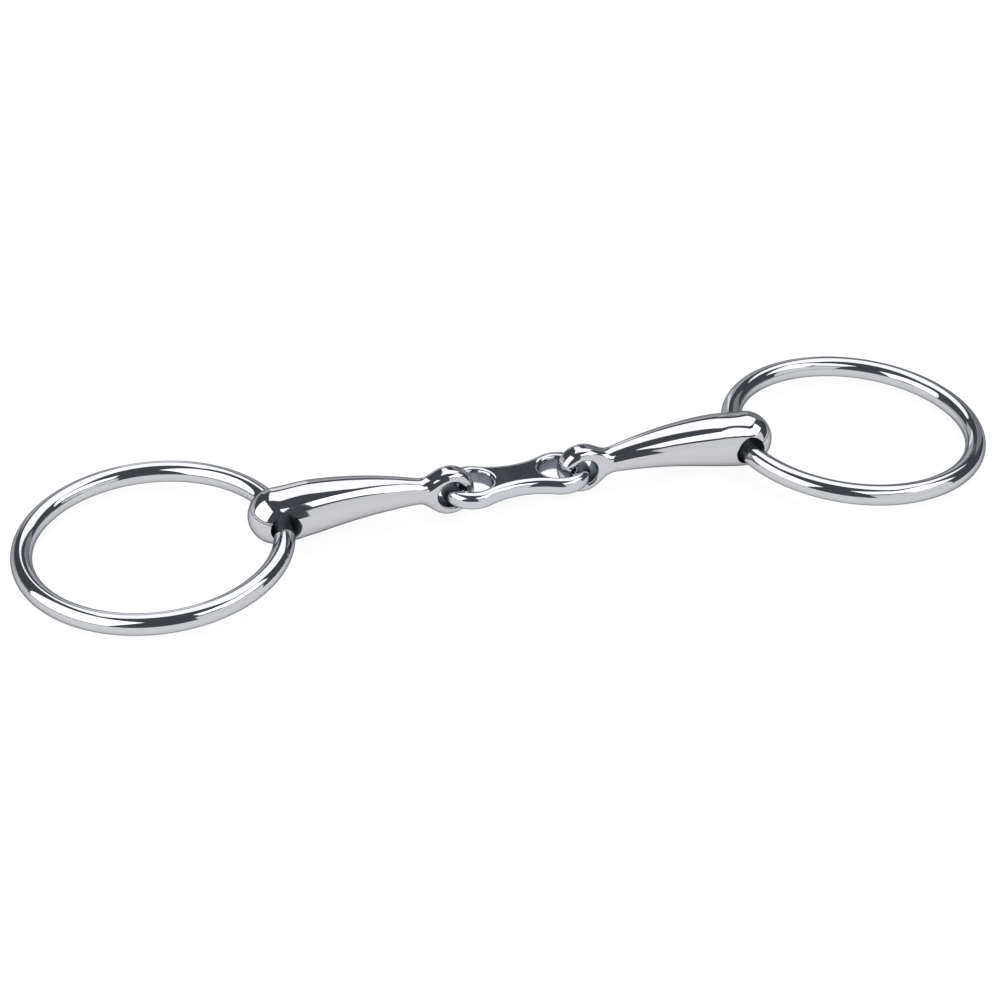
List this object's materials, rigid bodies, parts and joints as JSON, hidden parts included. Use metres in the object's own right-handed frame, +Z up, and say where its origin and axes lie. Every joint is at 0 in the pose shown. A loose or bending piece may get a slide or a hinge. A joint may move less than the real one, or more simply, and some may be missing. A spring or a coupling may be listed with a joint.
{
  "type": "snaffle bit",
  "caption": "Loose-ring snaffle bit for a horse bridle: round rings, tapered arms and a flat middle link, all polished steel and jointed.",
  "frame": {"origin": "on the table under the middle of the link plate, with the bit laid out straight", "axes": "+X along the mouthpiece towards the right ring, +Y along the hinge axes, +Z up from the table"},
  "size_m": [0.2762, 0.075, 0.0159],
  "materials": {
    "link_steel": "mirror-polished stainless steel plate",
    "arm_steel": "mirror-polished stainless steel casting",
    "ring_steel": "mirror-polished stainless steel wire"
  },
  "bodies": {
    "link": {"french_link": "link_steel"},
    "left_arm": {"left_arm": "arm_steel"},
    "right_arm": {"right_arm": "arm_steel"},
    "left_ring": {"left_ring": "ring_steel"},
    "right_ring": {"right_ring": "ring_steel"}
  },
  "joints": [
    {"name": "left_arm_fold", "type": "hinge", "parent": "link", "child": "left_arm", "pos_m": [-0.01905, 0, 0.00675], "axis": [0, 1, 0], "range_deg": [-45, 45]},
    {"name": "right_arm_fold", "type": "hinge", "parent": "link", "child": "right_arm", "pos_m": [0.01905, 0, 0.00675], "axis": [0, -1, 0], "range_deg": [-45, 45]},
    {"name": "left_ring_swing", "type": "hinge", "parent": "left_arm", "child": "left_ring", "pos_m": [-0.06635, 0, 0.0076], "axis": [0, 1, 0], "range_deg": [-85, 85]},
    {"name": "right_ring_swing", "type": "hinge", "parent": "right_arm", "child": "right_ring", "pos_m": [0.06635, 0, 0.0076], "axis": [0, -1, 0], "range_deg": [-85, 85]}
  ]
}
